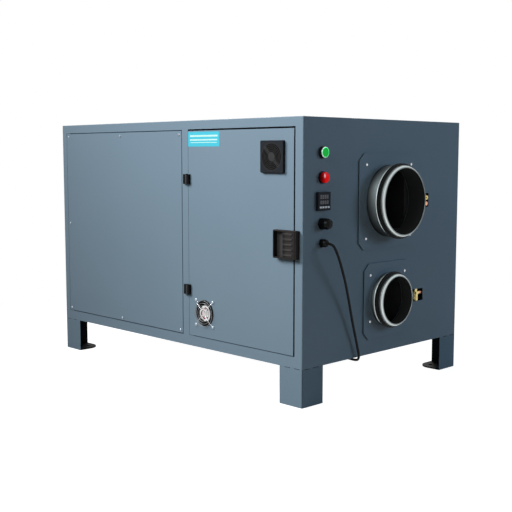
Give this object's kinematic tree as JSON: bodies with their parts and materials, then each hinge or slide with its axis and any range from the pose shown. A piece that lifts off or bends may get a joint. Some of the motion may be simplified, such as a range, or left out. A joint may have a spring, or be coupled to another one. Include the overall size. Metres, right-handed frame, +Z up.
{
  "type": "desiccant dehumidifier",
  "caption": "Ducted desiccant dehumidifier: sheet-steel cabinet on angle legs, round duct spigots in both ends, hinged electrics door, rotor, fans and heater inside.",
  "frame": {"origin": "on the floor under the middle of the object, cord left out", "axes": "+X out of the end wall with the controls, +Y towards the back wall, so the door faces -Y, +Z up"},
  "size_m": [1.219, 0.7204, 0.752],
  "materials": {
    "blue_paint": "smooth powder-coated steel, satin",
    "galvanised_steel": "galvanised sheet steel, matt",
    "dark_coated_steel": "black heat-resistant coating, matt",
    "zinc_screws": "bright zinc plating",
    "black_hinge": "black coated die casting, satin",
    "zinc_sheet": "bright galvanised sheet",
    "bright_steel": "bright steel",
    "chrome_wire": "chrome-plated wire",
    "black_rubber": "black rubber",
    "black_cord": "black flexible sheath",
    "black_plastic": "black moulded plastic",
    "dark_plastic": "dark grey moulded plastic",
    "filter_fleece": "grey filter fleece",
    "green_plastic": "green translucent cap",
    "red_lens": "red moulded lens",
    "pale_key": "pale key",
    "black_nylon": "black nylon, slightly glossy",
    "copper": "copper tube",
    "brass": "brass fittings",
    "aluminium_fins": "aluminium fins in a sheet casing",
    "aluminium_part": "cast aluminium",
    "device_plastic": "light grey device housings",
    "desiccant_honeycomb": "off-white honeycomb"
  },
  "bodies": {
    "cabinet": {"floor_pan": "galvanised_steel", "front_frame": "blue_paint", "end_panel_right": "blue_paint", "end_panel_left": "blue_paint", "back_panel": "blue_paint", "top_cover": "blue_paint", "access_panel": "blue_paint", "cabinet_screws": "zinc_screws", "legs": "blue_paint", "duct_plates": "blue_paint", "duct_gaskets": "black_rubber", "duct_collars": "zinc_sheet", "duct_lip_seals": "black_rubber", "door_seal": "black_rubber", "hinge_frame_leaves": "black_hinge", "hinge_pins": "black_hinge", "button_bezel": "dark_plastic", "pilot_lamp_body": "dark_plastic", "pilot_lamp_lens": "red_lens", "controller_case": "dark_plastic", "blank_gland": "black_nylon", "cord_gland": "black_nylon", "coil_pipes": "copper", "coil_fittings": "brass", "cooling_coil": "aluminium_fins", "electrics_partition": "galvanised_steel", "electrics_plate": "galvanised_steel", "rail_devices": "device_plastic", "rotor_cassette": "galvanised_steel", "drive_belt": "black_rubber", "gear_motor": "aluminium_part", "process_blower_housing": "dark_coated_steel", "process_motor": "aluminium_part", "regen_blower_housing": "dark_coated_steel", "regen_motor": "aluminium_part", "heater_duct": "dark_coated_steel", "heater_elements": "bright_steel", "power_cord": "black_cord", "cord_coil": "black_cord", "cord_plug": "black_cord"},
    "door": {"door_panel": "blue_paint", "hinge_door_leaves": "black_hinge", "latch_body": "black_plastic", "door_fan_frame": "black_plastic", "door_fan_guard": "chrome_wire", "door_fan_screws": "bright_steel", "filter_grille": "black_plastic", "filter_mat": "filter_fleece"},
    "latch_handle": {"latch_paddle": "black_plastic"},
    "latch_bolt": {"latch_tongue": "bright_steel"},
    "door_fan_rotor": {"door_fan_impeller": "black_plastic"},
    "start_button": {"button_cap": "green_plastic"},
    "desiccant_rotor": {"rotor_wheel": "desiccant_honeycomb"},
    "rotor_pulley": {"drive_pulley": "aluminium_part"},
    "process_fan_rotor": {"process_impeller": "dark_coated_steel"},
    "regeneration_fan_rotor": {"regen_impeller": "dark_coated_steel"},
    "key_1": {"controller_key_1": "pale_key"},
    "key_2": {"controller_key_2": "pale_key"},
    "key_3": {"controller_key_3": "pale_key"},
    "key_4": {"controller_key_4": "pale_key"}
  },
  "joints": [
    {"name": "door_swing", "type": "hinge", "parent": "cabinet", "child": "door", "pos_m": [0.1005, -0.348, 0.425], "axis": [0, 0, -1], "range_deg": [0, 110]},
    {"name": "latch_pull", "type": "hinge", "parent": "door", "child": "latch_handle", "pos_m": [0.5276, -0.3522, 0.42525], "axis": [0, 0, 1], "range_deg": [0, 40], "stiffness_Nm_per_rad": 0.2, "springref_deg": -22.92},
    {"name": "latch_bolt_slide", "type": "slide", "parent": "door", "child": "latch_bolt", "axis": [-1, 0, 0], "range_m": [0, 0.0061]},
    {"name": "door_fan_spin", "type": "hinge", "parent": "door", "child": "door_fan_rotor", "pos_m": [0.168, -0.332, 0.204], "axis": [0, 1, 0], "continuous": true},
    {"name": "button_press", "type": "slide", "parent": "cabinet", "child": "start_button", "axis": [-1, 0, 0], "range_m": [0, 0.004], "stiffness_N_per_m": 600, "springref_m": -0.002},
    {"name": "rotor_spin", "type": "hinge", "parent": "cabinet", "child": "desiccant_rotor", "pos_m": [-0.12, 0.008, 0.43], "axis": [1, 0, 0], "continuous": true},
    {"name": "pulley_spin", "type": "hinge", "parent": "cabinet", "child": "rotor_pulley", "pos_m": [-0.12, 0.213, 0.635], "axis": [1, 0, 0], "continuous": true},
    {"name": "process_fan_spin", "type": "hinge", "parent": "cabinet", "child": "process_fan_rotor", "pos_m": [0.3, 0.008, 0.4553], "axis": [0, 1, 0], "continuous": true},
    {"name": "regeneration_fan_spin", "type": "hinge", "parent": "cabinet", "child": "regeneration_fan_rotor", "pos_m": [-0.33, 0.008, 0.3038], "axis": [0, 1, 0], "continuous": true},
    {"name": "key_1_press", "type": "slide", "parent": "cabinet", "child": "key_1", "axis": [-1, 0, 0], "range_m": [0, 0.0005], "stiffness_N_per_m": 1500, "springref_m": -0.0004},
    {"name": "key_2_press", "type": "slide", "parent": "cabinet", "child": "key_2", "axis": [-1, 0, 0], "range_m": [0, 0.0005], "stiffness_N_per_m": 1500, "springref_m": -0.0004},
    {"name": "key_3_press", "type": "slide", "parent": "cabinet", "child": "key_3", "axis": [-1, 0, 0], "range_m": [0, 0.0005], "stiffness_N_per_m": 1500, "springref_m": -0.0004},
    {"name": "key_4_press", "type": "slide", "parent": "cabinet", "child": "key_4", "axis": [-1, 0, 0], "range_m": [0, 0.0005], "stiffness_N_per_m": 1500, "springref_m": -0.0004}
  ],
  "couplings": [
    {"joint": "latch_bolt_slide", "follows": "latch_pull", "m_per_rad": 0.0086},
    {"joint": "pulley_spin", "follows": "rotor_spin", "ratio": 11.25}
  ]
}
